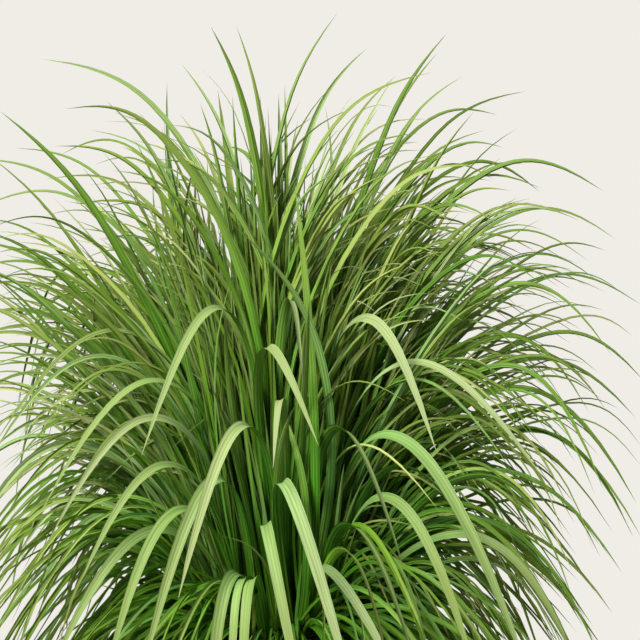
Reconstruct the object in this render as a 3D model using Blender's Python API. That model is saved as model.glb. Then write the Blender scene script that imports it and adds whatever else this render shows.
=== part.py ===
"""A potted ornamental grass clump: a round tapered pot, its soil, and 54 tufts of long arching leaves.

Metres, +Z up. The origin is the centre of the pot's underside, and -Y is the front.
"""

import math
import random
from dataclasses import dataclass

import bmesh
import bpy
from mathutils import Matrix, Vector
from mathutils.bvhtree import BVHTree

# Pot
POT_HEIGHT = 0.270
POT_RIM_RADIUS = 0.150
POT_FOOT_RADIUS = 0.112
POT_WALL = 0.012
POT_FLOOR = 0.016
RIM_HEIGHT = 0.028
RIM_STEP = 0.005
POT_LIP = 0.003
POT_SIDES = 36
SHARP_ANGLE = math.radians(30)

# Soil
SOIL_TOP = 0.245
SOIL_EDGE_DROP = 0.006
CROWN_RADIUS = 0.056
GAP = 0.0004

# Sheaths: each ring of tufts is its radius, its number of tufts and how far its sheaths lean out
RINGS = (
    (0.000, 1, 0.0),
    (0.012, 6, 3.0),
    (0.023, 12, 6.0),
    (0.034, 16, 10.0),
    (0.045, 19, 14.0),
)
SHEATH_RADIUS = 0.0046
SHEATH_HEIGHT = 0.042
SHEATH_SIDES = 6
LEAVES_PER_TUFT = 3
LEAF_ROOT_SHARE = 0.7

# Leaves
PIECES_PER_ARC = 4
ROOT_WIDTH = 0.35
WIDEST_AT = 0.4
POINT_POWER = 3.2
KEEL_SHARE = 0.16
KEEL_LEAST = 0.0003
FREE_SPACE = 0.0005
DEPTH_STEP = 0.005
DEPTH_STEPS = 26
REDRAWS = 1200
HEADING_SPREAD = 0.06
SWAY = 0.10
ROLL_FRONT = 20.0
ROLL_SIDE = 55.0
ROLL_LEAST = 0.4
SEEN_SHARE = 0.82
SEED = 50
WELD = 1e-6
UP = Vector((0.0, 0.0, 1.0))

# The leaves seen from the front were measured from one viewpoint, level with the upper leaves
EYE_DISTANCE = 1.6
EYE_PITCH = math.radians(6.0)
AIM_ACROSS = 0.045
AIM_UP = 0.380

# Each measured leaf in millimetres: its bend and its tip, each as across, up from the soil as seen
# from the viewpoint and how far it stands towards it, and then the leaf's width
UPPER_LEFT = (
    (-115, 589, -20, -233, 641, -40, 5.5),
    (-135, 586, 30, -210, 591, 40, 4.5),
    (-115, 535, 10, -170, 600, 20, 5.5),
    (-105, 530, -30, -108, 618, -40, 5.5),
    (-175, 480, 60, -275, 589, 70, 7.5),
    (-140, 535, -10, -220, 554, -20, 5.5),
    (-150, 559, -90, -215, 545, -120, 4.5),
    (-175, 524, -60, -260, 552, -80, 4.5),
    (-205, 512, -20, -315, 540, -30, 4.5),
    (-200, 504, 30, -305, 488, 40, 5.0),
    (-215, 482, 50, -290, 470, 70, 4.5),
    (-140, 505, 40, -172, 548, 50, 5.5),
    (-92, 470, 20, -79, 543, 20, 6.5),
    (-45, 550, -20, -95, 638, -40, 5.5),
    (-65, 540, -50, -97, 588, -60, 5.0),
    (-58, 540, 40, -75, 597, 50, 5.5),
    (-225, 435, 80, -310, 473, 100, 7.5),
    (-215, 425, 30, -318, 462, 30, 6.0),
)
UPPER_MIDDLE = (
    (-28, 585, 40, -65, 675, 50, 7.5),
    (-15, 590, 0, -39, 675, -10, 5.0),
    (12, 590, 20, 63, 688, 30, 7.0),
    (38, 580, -60, 92, 652, -90, 6.0),
    (60, 577, 60, 158, 628, 80, 6.0),
    (72, 565, -30, 122, 625, -50, 5.5),
    (115, 578, 30, 173, 668, 40, 7.0),
    (112, 570, -20, 163, 648, -30, 5.5),
    (130, 572, -50, 188, 624, -70, 5.5),
    (75, 542, 80, 145, 567, 100, 6.0),
    (58, 540, -80, 50, 595, -90, 5.5),
    (125, 517, 100, 203, 535, 120, 5.5),
    (45, 345, 120, -45, 478, 175, 7.5),
)
UPPER_RIGHT = (
    (165, 570, -10, 252, 609, -20, 6.0),
    (160, 587, -90, 223, 585, -110, 5.0),
    (180, 558, 40, 230, 552, 60, 6.0),
    (195, 541, -40, 265, 508, -60, 5.5),
    (230, 539, 10, 330, 508, 10, 5.5),
    (190, 510, 70, 237, 509, 90, 5.5),
    (200, 475, 90, 245, 503, 110, 5.5),
    (250, 492, -20, 342, 460, -20, 5.5),
    (230, 471, 50, 315, 438, 70, 5.5),
    (225, 459, -60, 290, 440, -80, 5.0),
    (275, 455, -90, 332, 449, -110, 4.5),
)
LOWER_LEFT = (
    (-215, 430, -40, -320, 424, -60, 5.0),
    (-210, 405, 20, -325, 408, 20, 5.0),
    (-235, 388, 60, -335, 362, 80, 7.0),
    (-225, 372, 0, -322, 348, 0, 5.5),
    (-225, 360, -30, -330, 352, -40, 5.5),
    (-235, 328, 30, -320, 280, 40, 6.0),
    (-215, 305, 70, -305, 240, 100, 6.0),
    (-230, 265, -20, -325, 200, -20, 6.0),
    (-205, 248, 50, -295, 178, 70, 6.0),
    (-165, 190, 60, -258, 45, 90, 7.0),
)
LOWER_RIGHT = (
    (270, 425, 30, 368, 394, 40, 6.0),
    (245, 420, 70, 338, 343, 90, 6.5),
    (285, 370, 0, 370, 318, 0, 6.0),
    (235, 366, 50, 315, 286, 70, 7.0),
    (235, 337, 90, 329, 209, 130, 7.5),
    (255, 342, -40, 361, 282, -60, 5.5),
    (240, 314, 30, 362, 196, 50, 7.0),
    (245, 273, 10, 368, 160, 10, 6.5),
    (220, 230, 60, 348, 126, 90, 6.5),
    (215, 175, -20, 338, 86, -20, 6.5),
    (215, 225, 100, 298, 100, 150, 7.5),
    (205, 182, 50, 325, 42, 80, 7.0),
    (200, 165, 100, 300, 40, 140, 7.0),
)
FRONT = (
    (-57, 398, 130, -134, 243, 215, 8.0),
    (-7, 358, 150, 44, 253, 215, 8.5),
    (5, 304, 160, -2, 230, 200, 8.5),
    (-32, 279, 150, -97, 100, 240, 9.0),
    (-60, 224, 170, -135, 20, 250, 9.0),
    (-95, 193, 150, -169, 25, 220, 8.5),
    (-120, 172, 130, -225, 28, 190, 8.0),
    (-108, 238, 130, -195, 117, 200, 7.0),
    (-118, 323, 120, -232, 192, 180, 6.5),
    (-122, 286, 140, -226, 160, 200, 6.5),
    (-155, 372, 90, -283, 252, 150, 6.5),
    (-45, 125, 175, -68, -60, 215, 9.0),
    (-35, 118, 190, -42, -70, 222, 7.5),
    (-25, 117, 200, -33, -50, 238, 9.0),
    (-9, 177, 180, 32, -30, 260, 9.0),
    (8, 221, 150, 84, -15, 260, 9.5),
    (63, 275, 110, 130, 127, 210, 8.5),
    (90, 387, 110, 162, 247, 190, 9.0),
    (131, 340, 110, 269, 221, 190, 7.0),
    (162, 343, 60, 266, 255, 110, 6.0),
    (112, 269, 120, 255, 22, 220, 9.0),
    (127, 236, 90, 243, 62, 160, 8.0),
    (113, 205, 130, 203, 18, 215, 8.0),
    (77, 176, 150, 149, 5, 225, 8.0),
    (73, 150, 160, 122, -15, 220, 7.0),
    (52, 132, 175, 137, -5, 240, 7.5),
)
MEASURED = UPPER_LEFT + UPPER_MIDDLE + UPPER_RIGHT + LOWER_LEFT + LOWER_RIGHT + FRONT

# The other leaves are drawn between these limits, ring by ring: how far out and how high the bend is,
# and how far out and how high the tip is, each as least and most, in metres from the soil's middle
DRAWN = (
    ((0.000, 0.015), (0.46, 0.52), (0.010, 0.050), (0.600, 0.650)),
    ((0.030, 0.080), (0.46, 0.54), (0.070, 0.170), (0.540, 0.640)),
    ((0.100, 0.170), (0.45, 0.54), (0.190, 0.290), (0.420, 0.580)),
    ((0.170, 0.240), (0.30, 0.44), (0.280, 0.360), (0.200, 0.400)),
    ((0.150, 0.230), (0.16, 0.30), (0.220, 0.340), (0.020, 0.200)),
)
DRAWN_WIDTH = (0.0065, 0.0095)

# On the front, where all arching leaves were measured, the drawn ones are steep and stay behind them
FRONT_DRAWN = ((0.030, 0.120), (0.200, 0.420), (0.060, 0.180), (0.300, 0.520))
FRONT_HEADING = math.radians(-90)
FRONT_SPREAD = math.radians(65)

# Materials: colour and roughness, and the leaves' colours from the darkest tuft to the lightest
POT_FINISH = ((0.42, 0.39, 0.35), 0.85)
SOIL_FINISH = ((0.045, 0.030, 0.020), 0.95)
LEAF_DARK = Vector((0.050, 0.140, 0.030))
LEAF_LIGHT = Vector((0.230, 0.340, 0.080))
LEAF_ROUGHNESS = 0.55


def clear_scene():
    for thing in list(bpy.data.objects):
        bpy.data.objects.remove(thing, do_unlink=True)


def make_material(name, colour, roughness):
    material = bpy.data.materials.new(name)
    material.use_nodes = True
    shader = material.node_tree.nodes["Principled BSDF"]
    shader.inputs["Base Color"].default_value = (*colour, 1.0)
    shader.inputs["Roughness"].default_value = roughness
    material.diffuse_color = (*colour, 1.0)
    return material


def add_object(name, form, finish):
    mesh = bpy.data.meshes.new(name)
    bmesh.ops.recalc_face_normals(form, faces=form.faces)
    form.to_mesh(mesh)
    form.free()
    thing = bpy.data.objects.new(name, mesh)
    bpy.context.scene.collection.objects.link(thing)
    mesh.materials.append(make_material(name, *finish))
    return thing


def turn_profile(profile, sides):
    """A closed solid turned round Z from (radius, height) points whose ends are on the axis."""
    form = bmesh.new()
    points = [form.verts.new((radius, 0.0, height)) for radius, height in profile]
    edges = [form.edges.new(pair) for pair in zip(points, points[1:])]
    bmesh.ops.spin(form, geom=points + edges, axis=(0, 0, 1), cent=(0, 0, 0), steps=sides, angle=math.tau)
    bmesh.ops.remove_doubles(form, verts=form.verts, dist=WELD)
    return form


def wall_radius(height):
    """The pot's outer radius under the rim at a height."""
    top = POT_RIM_RADIUS - RIM_STEP
    return POT_FOOT_RADIUS + (top - POT_FOOT_RADIUS) * height / POT_HEIGHT


def inner_radius(height):
    return wall_radius(height) - POT_WALL


def add_pot():
    band = POT_HEIGHT - RIM_HEIGHT
    profile = (
        (0.0, 0.0),
        (POT_FOOT_RADIUS - POT_LIP, 0.0),
        (POT_FOOT_RADIUS, POT_LIP),
        (wall_radius(band), band),
        (POT_RIM_RADIUS, band + RIM_STEP),
        (POT_RIM_RADIUS, POT_HEIGHT - POT_LIP),
        (POT_RIM_RADIUS - POT_LIP, POT_HEIGHT),
        (inner_radius(POT_HEIGHT), POT_HEIGHT),
        (inner_radius(POT_FLOOR), POT_FLOOR),
        (0.0, POT_FLOOR),
    )
    pot = add_object("pot", turn_profile(profile, POT_SIDES), POT_FINISH)
    pot.data.shade_smooth()
    pot.data.set_sharp_from_angle(angle=SHARP_ANGLE)


def add_soil():
    floor = POT_FLOOR + GAP
    edge = SOIL_TOP - SOIL_EDGE_DROP
    profile = (
        (0.0, floor),
        (inner_radius(floor) - GAP, floor),
        (inner_radius(edge) - GAP, edge),
        (CROWN_RADIUS, SOIL_TOP),
        (0.0, SOIL_TOP),
    )
    add_object("soil", turn_profile(profile, POT_SIDES), SOIL_FINISH)


def seen_point(across, up, toward):
    """The place in the room of a point seen from the viewpoint, in metres."""
    tilt = Vector((0.0, math.sin(EYE_PITCH), math.cos(EYE_PITCH)))
    aim = Vector((AIM_ACROSS, 0.0, SOIL_TOP + AIM_UP))
    eye = aim + EYE_DISTANCE * Vector((0.0, -math.cos(EYE_PITCH), math.sin(EYE_PITCH)))
    drawn = Vector((across, 0.0, aim.z)) + tilt * (up - AIM_UP)
    return eye + (drawn - eye) * ((-toward - eye.y) / (drawn.y - eye.y))


@dataclass
class Leaf:
    bend: Vector
    tip: Vector
    width: float
    roll: float = 0.0


def measured_leaf(row, shift=0.0):
    """A measured leaf, moved along its sight lines by a shift in depth. It shows only a share of its width."""
    across, up, toward, tip_across, tip_up, tip_toward, width = (value / 1000 for value in row)
    bend = seen_point(across, up, toward + shift)
    tip = seen_point(tip_across, tip_up, tip_toward + shift)
    seen_bigger = EYE_DISTANCE / (EYE_DISTANCE - toward)
    return Leaf(bend, tip, width / seen_bigger / SEEN_SHARE)


def drawn_leaf(ring, heading, rng):
    """A leaf drawn between the limits of its ring, or of the front."""
    on_front = math.cos(heading - FRONT_HEADING) > math.cos(FRONT_SPREAD)
    limits = FRONT_DRAWN if on_front else DRAWN[ring]
    out, high, tip_out, tip_high = (rng.uniform(*pair) for pair in limits)
    turned = heading + rng.gauss(0.0, SWAY)
    bend = Vector((out * math.cos(heading), out * math.sin(heading), SOIL_TOP + high))
    tip = Vector((tip_out * math.cos(turned), tip_out * math.sin(turned), SOIL_TOP + tip_high))
    return Leaf(bend, tip, rng.uniform(*DRAWN_WIDTH))


def leaf_points(root, bend, tip, pieces):
    """Points on a leaf's middle line and their tangents: two parabolas that meet at the bend."""
    rise, fall = bend - root, tip - bend
    level = (rise.normalized() + fall.normalized()) / 2
    arcs = (
        (root, bend - level * rise.length / 2, bend),
        (bend, bend + level * fall.length / 2, tip),
    )
    points = []
    for start, middle, end in arcs:
        for step in range(1, pieces + 1):
            t = step / pieces
            point = start * (1 - t) ** 2 + middle * 2 * t * (1 - t) + end * t * t
            tangent = ((middle - start) * (1 - t) + (end - middle) * t).normalized()
            points.append((point, tangent))
    return points


def leaf_width(share):
    """The width at a share of the length: narrow at the sheath, widest at two fifths, then a long point."""
    grown = min(share / WIDEST_AT, 1.0)
    return (ROOT_WIDTH + (1 - ROOT_WIDTH) * grown * (2 - grown)) * (1 - share ** POINT_POWER)


def leaf_rings(root, leaf, spare=0.0):
    """The three-cornered sections of a leaf: on the underside its keel, then its left and right edges."""
    points = leaf_points(root, leaf.bend, leaf.tip, PIECES_PER_ARC)
    flat = Vector((leaf.tip.x - root.x, leaf.tip.y - root.y, 0.0)).normalized()
    side = Vector((-flat.y, flat.x, 0.0))
    rings = []
    for number, (point, tangent) in enumerate(points[:-1], 1):
        share = number / len(points)
        half = leaf.width * leaf_width(share) / 2 + spare
        keel = max(2 * half * KEEL_SHARE, KEEL_LEAST) + spare
        under = side.cross(tangent).normalized()
        turn = Matrix.Rotation(leaf.roll * share, 3, tangent)
        left = turn @ tangent.cross(under)
        down = turn @ under
        rings.append((point + down * keel, point + left * half, point - left * half))
    return rings


class Tuft:
    """One shoot: where its sheath stands, and the leaves that grow from it."""

    def __init__(self, ring, around):
        radius, _, lean = RINGS[ring]
        self.ring = ring
        self.around = around
        out = Vector((math.cos(around), math.sin(around), 0.0))
        self.foot = out * radius + UP * (SOIL_TOP + GAP)
        self.axis = UP * math.cos(math.radians(lean)) + out * math.sin(math.radians(lean))
        self.top = self.foot + self.axis * SHEATH_HEIGHT
        first = around - math.tau / SHEATH_SIDES / 2
        self.angles = [first + math.tau * side / SHEATH_SIDES for side in range(SHEATH_SIDES)]
        self.level = [Vector((math.cos(a), math.sin(a), 0.0)) * SHEATH_RADIUS for a in self.angles]
        slant = UP.rotation_difference(self.axis)
        self.raised = [slant @ corner for corner in self.level]
        self.leaves = [None] * LEAVES_PER_TUFT

    def root_corners(self, place):
        """The three corners on the sheath's top that a leaf grows from, and their middle."""
        one = self.top + self.raised[2 * place]
        two = self.top + self.raised[(2 * place + 1) % SHEATH_SIDES]
        corners = (one, two, self.top)
        middle = (one + two + self.top) / 3
        return [middle + (corner - middle) * LEAF_ROOT_SHARE for corner in corners], middle

    def sheath_solid(self):
        corners = [self.foot + corner for corner in self.level]
        corners += [self.top + corner for corner in self.raised]
        count = SHEATH_SIDES
        faces = [(i, (i + 1) % count, count + (i + 1) % count, count + i) for i in range(count)]
        faces.append(tuple(range(count, 2 * count)))
        return corners, faces


def match_root(corners, ring):
    """How far round a section is counted on, so that it twists least from the corners on the sheath."""
    def apart(turn):
        return sum((corners[i] - ring[(i + turn) % 3]).length for i in range(3))

    return min(range(3), key=apart)


def split_outward(points, quad, centre):
    """A bent quad's two triangles, along the diagonal that stands out further from the centre."""
    a, b, c, d = (points[i] for i in quad)
    out = (c - a).cross(d - b)
    if out.dot(a + b + c + d - 4 * centre) < 0:
        out.negate()
    if out.dot(a + c) > out.dot(b + d):
        return (quad[0], quad[1], quad[2]), (quad[0], quad[2], quad[3])
    return (quad[1], quad[2], quad[3]), (quad[1], quad[3], quad[0])


def leaf_solid(tuft, place, leaf, spare=0.0):
    """The leaf's corners and faces, from its three corners on the sheath to its tip."""
    corners, middle = tuft.root_corners(place)
    rings = leaf_rings(middle, leaf, spare)
    turn = match_root(corners, rings[0])
    points = list(corners)
    for ring in rings:
        points.extend(ring[(i + turn) % 3] for i in range(3))
    points.append(leaf.tip)
    faces = []
    for number in range(len(rings)):
        low = 3 * number
        centre = sum(points[low:low + 6], Vector()) / 6
        for i in range(3):
            j = (i + 1) % 3
            faces.extend(split_outward(points, (low + i, low + j, low + 3 + j, low + 3 + i), centre))
    last = 3 * len(rings)
    for i in range(3):
        faces.append((last + i, last + (i + 1) % 3, last + 3))
    return points, faces


def heading_of(leaf):
    return math.atan2(leaf.tip.y, leaf.tip.x)


def lean_of(leaf):
    return math.atan2(math.hypot(leaf.bend.x, leaf.bend.y), leaf.bend.z - SOIL_TOP)


def share_out_measured():
    """The measured leaves for each ring of tufts: the steeper a leaf, the nearer the middle it grows."""
    rows = sorted(MEASURED, key=lambda row: lean_of(measured_leaf(row)))
    places = sum(tufts * LEAVES_PER_TUFT for _, tufts, _ in RINGS)
    shares = []
    passed = 0
    for _, tufts, _ in RINGS:
        before = round(len(rows) * passed / places)
        passed += tufts * LEAVES_PER_TUFT
        shares.append(rows[before:round(len(rows) * passed / places)])
    return shares


def fill_headings(known, count):
    """The known headings with their rows, and new ones, each in the middle of the widest gap left."""
    headings = list(known) or [(0.0, None)]
    while len(headings) < count:
        headings.sort(key=lambda pair: pair[0])
        nexts = headings[1:] + headings[:1]
        gaps = []
        for (heading, _), (following, _) in zip(headings, nexts):
            gaps.append(((following - heading) % math.tau or math.tau, heading))
        gap, heading = max(gaps)
        middle = heading + gap / 2
        headings.append((math.atan2(math.sin(middle), math.cos(middle)), None))
    return sorted(headings, key=lambda pair: pair[0])


def place_in_tuft(tuft, group):
    """The group's leaves in their places on the sheath: the most leaning outside, then left and right."""
    def lean(item):
        return lean_of(measured_leaf(item[1])) if item[1] else 0.0

    outer = max(group, key=lean)
    others = [item for item in group if item is not outer]
    right, left = sorted(others, key=lambda item: math.sin(item[0] - tuft.around))
    return outer, left, right


def plan_tufts():
    """Every tuft, with its leaves to be: the heading and the measured row or None for each place."""
    plan = []
    for ring, rows in enumerate(share_out_measured()):
        tufts = RINGS[ring][1]
        known = [(heading_of(measured_leaf(row)), row) for row in rows]
        wanted = fill_headings(known, tufts * LEAVES_PER_TUFT)
        for number in range(tufts):
            group = wanted[number * LEAVES_PER_TUFT:(number + 1) * LEAVES_PER_TUFT]
            tuft = Tuft(ring, -math.pi + math.tau * (number + 0.5) / tufts)
            plan.append((tuft, place_in_tuft(tuft, group)))
    return plan


def largest_roll(root, tip):
    """A leaf that arches sideways is turned more, so that it isn't seen by its edge alone."""
    flat = Vector((tip.x - root.x, tip.y - root.y)).normalized()
    return math.radians(ROLL_FRONT + ROLL_SIDE * abs(flat.x))


def leaf_tries(ring, heading, row, rng):
    """One way after another for a leaf to grow: a measured one moves only in depth."""
    if row:
        for step in range(DEPTH_STEPS):
            for sign in (1, -1):
                yield measured_leaf(row, sign * step * DEPTH_STEP)
    else:
        for _ in range(REDRAWS):
            yield drawn_leaf(ring, heading + rng.gauss(0.0, HEADING_SPREAD), rng)


def grow_leaf(tuft, place, heading, row, rng, standing):
    """Takes the first way for the leaf that clears all that stands."""
    root = tuft.root_corners(place)[1]
    others = [tree for owner, tree in standing if owner is not tuft]
    for leaf in leaf_tries(tuft.ring, heading, row, rng):
        leaf.roll = rng.uniform(ROLL_LEAST, 1.0) * largest_roll(root, leaf.tip) * rng.choice((-1, 1))
        tree = BVHTree.FromPolygons(*leaf_solid(tuft, place, leaf, FREE_SPACE))
        if not any(tree.overlap(other) for other in others):
            tuft.leaves[place] = leaf
            standing.append((None, tree))
            return


def grow_clump():
    """All tufts with their leaves, none of which passes through another."""
    rng = random.Random(SEED)
    plan = plan_tufts()
    standing = [(tuft, BVHTree.FromPolygons(*tuft.sheath_solid())) for tuft, _ in plan]
    for wants_measured in (True, False):
        for tuft, group in plan:
            for place, (heading, row) in enumerate(group):
                if bool(row) == wants_measured:
                    grow_leaf(tuft, place, heading, row, rng, standing)
    return [tuft for tuft, _ in plan]


def add_tuft(name, tuft, colour):
    """One object: the sheath, with each leaf grown out of its own third of the sheath's top."""
    form = bmesh.new()
    corners, faces = tuft.sheath_solid()
    corners.append(tuft.top)
    verts = [form.verts.new(corner) for corner in corners]
    for face in faces[:-1]:
        form.faces.new([verts[i] for i in face])
    form.faces.new(list(reversed(verts[:SHEATH_SIDES])))
    raised = verts[SHEATH_SIDES:2 * SHEATH_SIDES]
    middle = verts[-1]
    for side in range(SHEATH_SIDES):
        cap = (raised[side], raised[(side + 1) % SHEATH_SIDES], middle)
        leaf = tuft.leaves[side // 2] if side % 2 == 0 else None
        if leaf is None:
            form.faces.new(cap)
            continue
        points, leaf_faces = leaf_solid(tuft, side // 2, leaf)
        grown = [form.verts.new(point) for point in points]
        for i in range(3):
            j = (i + 1) % 3
            form.faces.new((cap[i], cap[j], grown[j], grown[i]))
        for face in leaf_faces:
            form.faces.new([grown[i] for i in face])
    add_object(name, form, (tuple(colour), LEAF_ROUGHNESS))


def main():
    clear_scene()
    add_pot()
    add_soil()
    shades = random.Random(SEED)
    for number, tuft in enumerate(grow_clump(), 1):
        add_tuft(f"tuft_{number:02d}", tuft, LEAF_DARK.lerp(LEAF_LIGHT, shades.random()))


main()
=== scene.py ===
import random
from math import atan2, copysign, cos, hypot, pi, radians, sin, sqrt, tau

import bmesh
import bpy
import numpy as np
from mathutils import Euler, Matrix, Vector
from numpy.linalg import norm


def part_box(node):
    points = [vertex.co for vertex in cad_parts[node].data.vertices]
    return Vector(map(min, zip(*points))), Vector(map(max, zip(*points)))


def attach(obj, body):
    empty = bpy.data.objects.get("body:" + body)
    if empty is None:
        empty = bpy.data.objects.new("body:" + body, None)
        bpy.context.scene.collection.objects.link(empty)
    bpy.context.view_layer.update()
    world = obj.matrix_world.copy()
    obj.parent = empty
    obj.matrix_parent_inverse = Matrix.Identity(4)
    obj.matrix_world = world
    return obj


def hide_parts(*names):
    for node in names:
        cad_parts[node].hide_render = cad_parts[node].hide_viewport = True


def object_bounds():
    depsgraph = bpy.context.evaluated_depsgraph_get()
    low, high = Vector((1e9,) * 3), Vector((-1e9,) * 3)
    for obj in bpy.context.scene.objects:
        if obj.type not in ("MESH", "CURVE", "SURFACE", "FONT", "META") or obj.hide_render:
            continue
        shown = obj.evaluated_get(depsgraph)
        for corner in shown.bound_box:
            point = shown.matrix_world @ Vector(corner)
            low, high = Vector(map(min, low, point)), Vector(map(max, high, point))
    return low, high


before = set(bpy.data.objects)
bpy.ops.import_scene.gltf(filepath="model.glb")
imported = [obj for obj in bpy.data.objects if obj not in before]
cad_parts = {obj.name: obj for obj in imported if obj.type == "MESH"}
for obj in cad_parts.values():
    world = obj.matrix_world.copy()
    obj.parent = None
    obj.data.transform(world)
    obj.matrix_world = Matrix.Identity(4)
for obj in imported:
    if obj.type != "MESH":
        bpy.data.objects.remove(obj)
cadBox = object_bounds()
scene = bpy.context.scene
print("frame loaded with", len(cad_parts), "nodes")

seed = 7
rng = random.Random(seed)
weldDistance = 1e-6
levelRoom = 1e-4  # points this close in height are level
tiny = 1e-6

# heights and radii that the frame gives
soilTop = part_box("soil")[1].z
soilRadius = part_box("soil")[1].x
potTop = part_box("pot")[1].z
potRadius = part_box("pot")[1].x
crownRoom = 0.085  # leaves may be low over the soil this far out
boxMargin = 0.002
cadLow = np.array(cadBox[0]) + boxMargin
cadHigh = np.array(cadBox[1]) - boxMargin

# what a user would change about the picture
picture = {
    "aim": (0.045, 0.0, 0.625),
    "distance": 1.6,
    "pitch": radians(6.0),
    "lens": 90.0,
    "wallColour": (0.871, 0.847, 0.791),
    "wallLight": 0.38,
}


# places as the camera sees them: across and up from the middle of the soil's top, in the picture's plane
# through the aim, and toward the viewer in depth
aim = np.array(picture["aim"])
upward = np.array([0.0, sin(picture["pitch"]), cos(picture["pitch"])])
backward = np.array([0.0, -cos(picture["pitch"]), sin(picture["pitch"])])
eye = aim + picture["distance"] * backward


def seenPoint(across, up, toward):
    drawn = aim + np.array([across - aim[0], 0.0, 0.0]) + upward * (soilTop + up - aim[2])
    return eye + (drawn - eye) * ((-toward - eye[1]) / (drawn[1] - eye[1]))


def seenSpots(points):
    # across and up of each point, and how far it is from the viewer
    rays = points - eye
    depths = -(rays @ backward)
    drawn = eye + rays * (picture["distance"] / depths)[:, None] - aim
    return np.column_stack((aim[0] + drawn[:, 0], aim[2] - soilTop + drawn @ upward)), depths


# small helpers for node trees

def newTree(owner):
    owner.use_nodes = True
    owner.node_tree.nodes.clear()
    return owner.node_tree


def addNode(tree, kind, **settings):
    node = tree.nodes.new("ShaderNode" + kind)
    for name, value in settings.items():
        if name in node.inputs:
            node.inputs[name].default_value = value
        else:
            setattr(node, name, value)
    return node


def feed(tree, socket, value):
    # a socket takes another node's output, a colour or a number
    if isinstance(value, bpy.types.NodeSocket):
        tree.links.new(value, socket)
    elif isinstance(value, tuple):
        socket.default_value = (*value, 1.0)
    else:
        socket.default_value = value


def mathNode(tree, operation, *values):
    node = addNode(tree, "Math", operation=operation)
    for socket, value in zip(node.inputs, values):
        feed(tree, socket, value)
    return node.outputs[0]


def ramp(tree, factor, stops):
    node = addNode(tree, "ValToRGB")
    elements = node.color_ramp.elements
    while len(elements) < len(stops):
        elements.new(0.5)
    for element, (place, colour) in zip(elements, stops):
        element.position = place
        element.color = (*colour, 1.0)
    feed(tree, node.inputs["Fac"], factor)
    return node.outputs["Color"]


def greyRamp(tree, factor, stops):
    return ramp(tree, factor, [(place, (value, value, value)) for place, value in stops])


def mixColours(tree, factor, one, two, kind="MIX"):
    node = addNode(tree, "Mix", data_type="RGBA", blend_type=kind)
    for socket, value in zip((node.inputs[0], node.inputs[6], node.inputs[7]), (factor, one, two)):
        feed(tree, socket, value)
    return node.outputs[2]


def multiplied(tree, one, two):
    return mixColours(tree, 1.0, one, two, "MULTIPLY")


def attribute(tree, name, output="Fac"):
    return addNode(tree, "Attribute", attribute_name=name).outputs[output]


def newGroup(name, inputs, outputs):
    group = bpy.data.node_groups.new(name, "ShaderNodeTree")
    face = group.interface
    for label, value in inputs:
        face.new_socket(name=label, in_out="INPUT", socket_type="NodeSocketFloat").default_value = value
    for label in outputs:
        face.new_socket(name=label, in_out="OUTPUT", socket_type="NodeSocketFloat")
    return group, group.nodes.new("NodeGroupInput"), group.nodes.new("NodeGroupOutput")


def placeGroup(tree, group, **values):
    node = addNode(tree, "Group")
    node.node_tree = group
    for name, value in values.items():
        feed(tree, node.inputs[name], value)
    return node


def addBump(tree, shader, height, strength, distance):
    bump = addNode(tree, "Bump", Strength=strength, Distance=distance)
    feed(tree, bump.inputs["Height"], height)
    feed(tree, shader.inputs["Normal"], bump.outputs["Normal"])


def mixShaders(tree, factor, one, two):
    node = addNode(tree, "MixShader")
    for socket, value in zip(node.inputs, (factor, one.outputs[0], two.outputs[0])):
        feed(tree, socket, value)
    return node.outputs[0]


def showSurface(tree, surface, output="OutputMaterial"):
    feed(tree, addNode(tree, output).inputs["Surface"], surface)


# a group that draws the lengthwise veins of a leaf or a sheath, its midrib and its long soft streaks

veinShape = {
    "streakScales": (2.2, 9.0, 40.0),  # across a leaf, along it, and from leaf to leaf
    "streakNoise": {"Scale": 1.0, "Detail": 4.0, "Roughness": 0.6},
    "wander": 0.25,  # how far the veins follow the streaks
    "midrib": ((0.0, 1.0), (0.10, 0.9), (0.26, 0.0)),
}


def makeVeinGroup(shape):
    inputs = (("Along", 0.0), ("Across", 0.0), ("Seed", 0.0), ("Count", 3.0))
    group, entry, leave = newGroup("veins", inputs, ("Veins", "Streaks", "Midrib"))
    across = entry.outputs["Across"]
    place = addNode(group, "CombineXYZ")
    for name, scale, socket in zip(("Across", "Along", "Seed"), shape["streakScales"], place.inputs):
        feed(group, socket, mathNode(group, "MULTIPLY", entry.outputs[name], scale))
    streaks = addNode(group, "TexNoise", **shape["streakNoise"])
    feed(group, streaks.inputs["Vector"], place.outputs[0])
    feed(group, leave.inputs["Streaks"], streaks.outputs["Fac"])

    wander = mathNode(group, "MULTIPLY", streaks.outputs["Fac"], shape["wander"])
    lines = mathNode(group, "MULTIPLY", mathNode(group, "ADD", across, wander), entry.outputs["Count"])
    wave = mathNode(group, "COSINE", mathNode(group, "MULTIPLY", lines, tau))
    feed(group, leave.inputs["Veins"], mathNode(group, "MULTIPLY_ADD", wave, 0.5, 0.5))
    middle = greyRamp(group, mathNode(group, "ABSOLUTE", across), shape["midrib"])
    feed(group, leave.inputs["Midrib"], middle)
    return group


veinGroup = makeVeinGroup(veinShape)


# leaves

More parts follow.
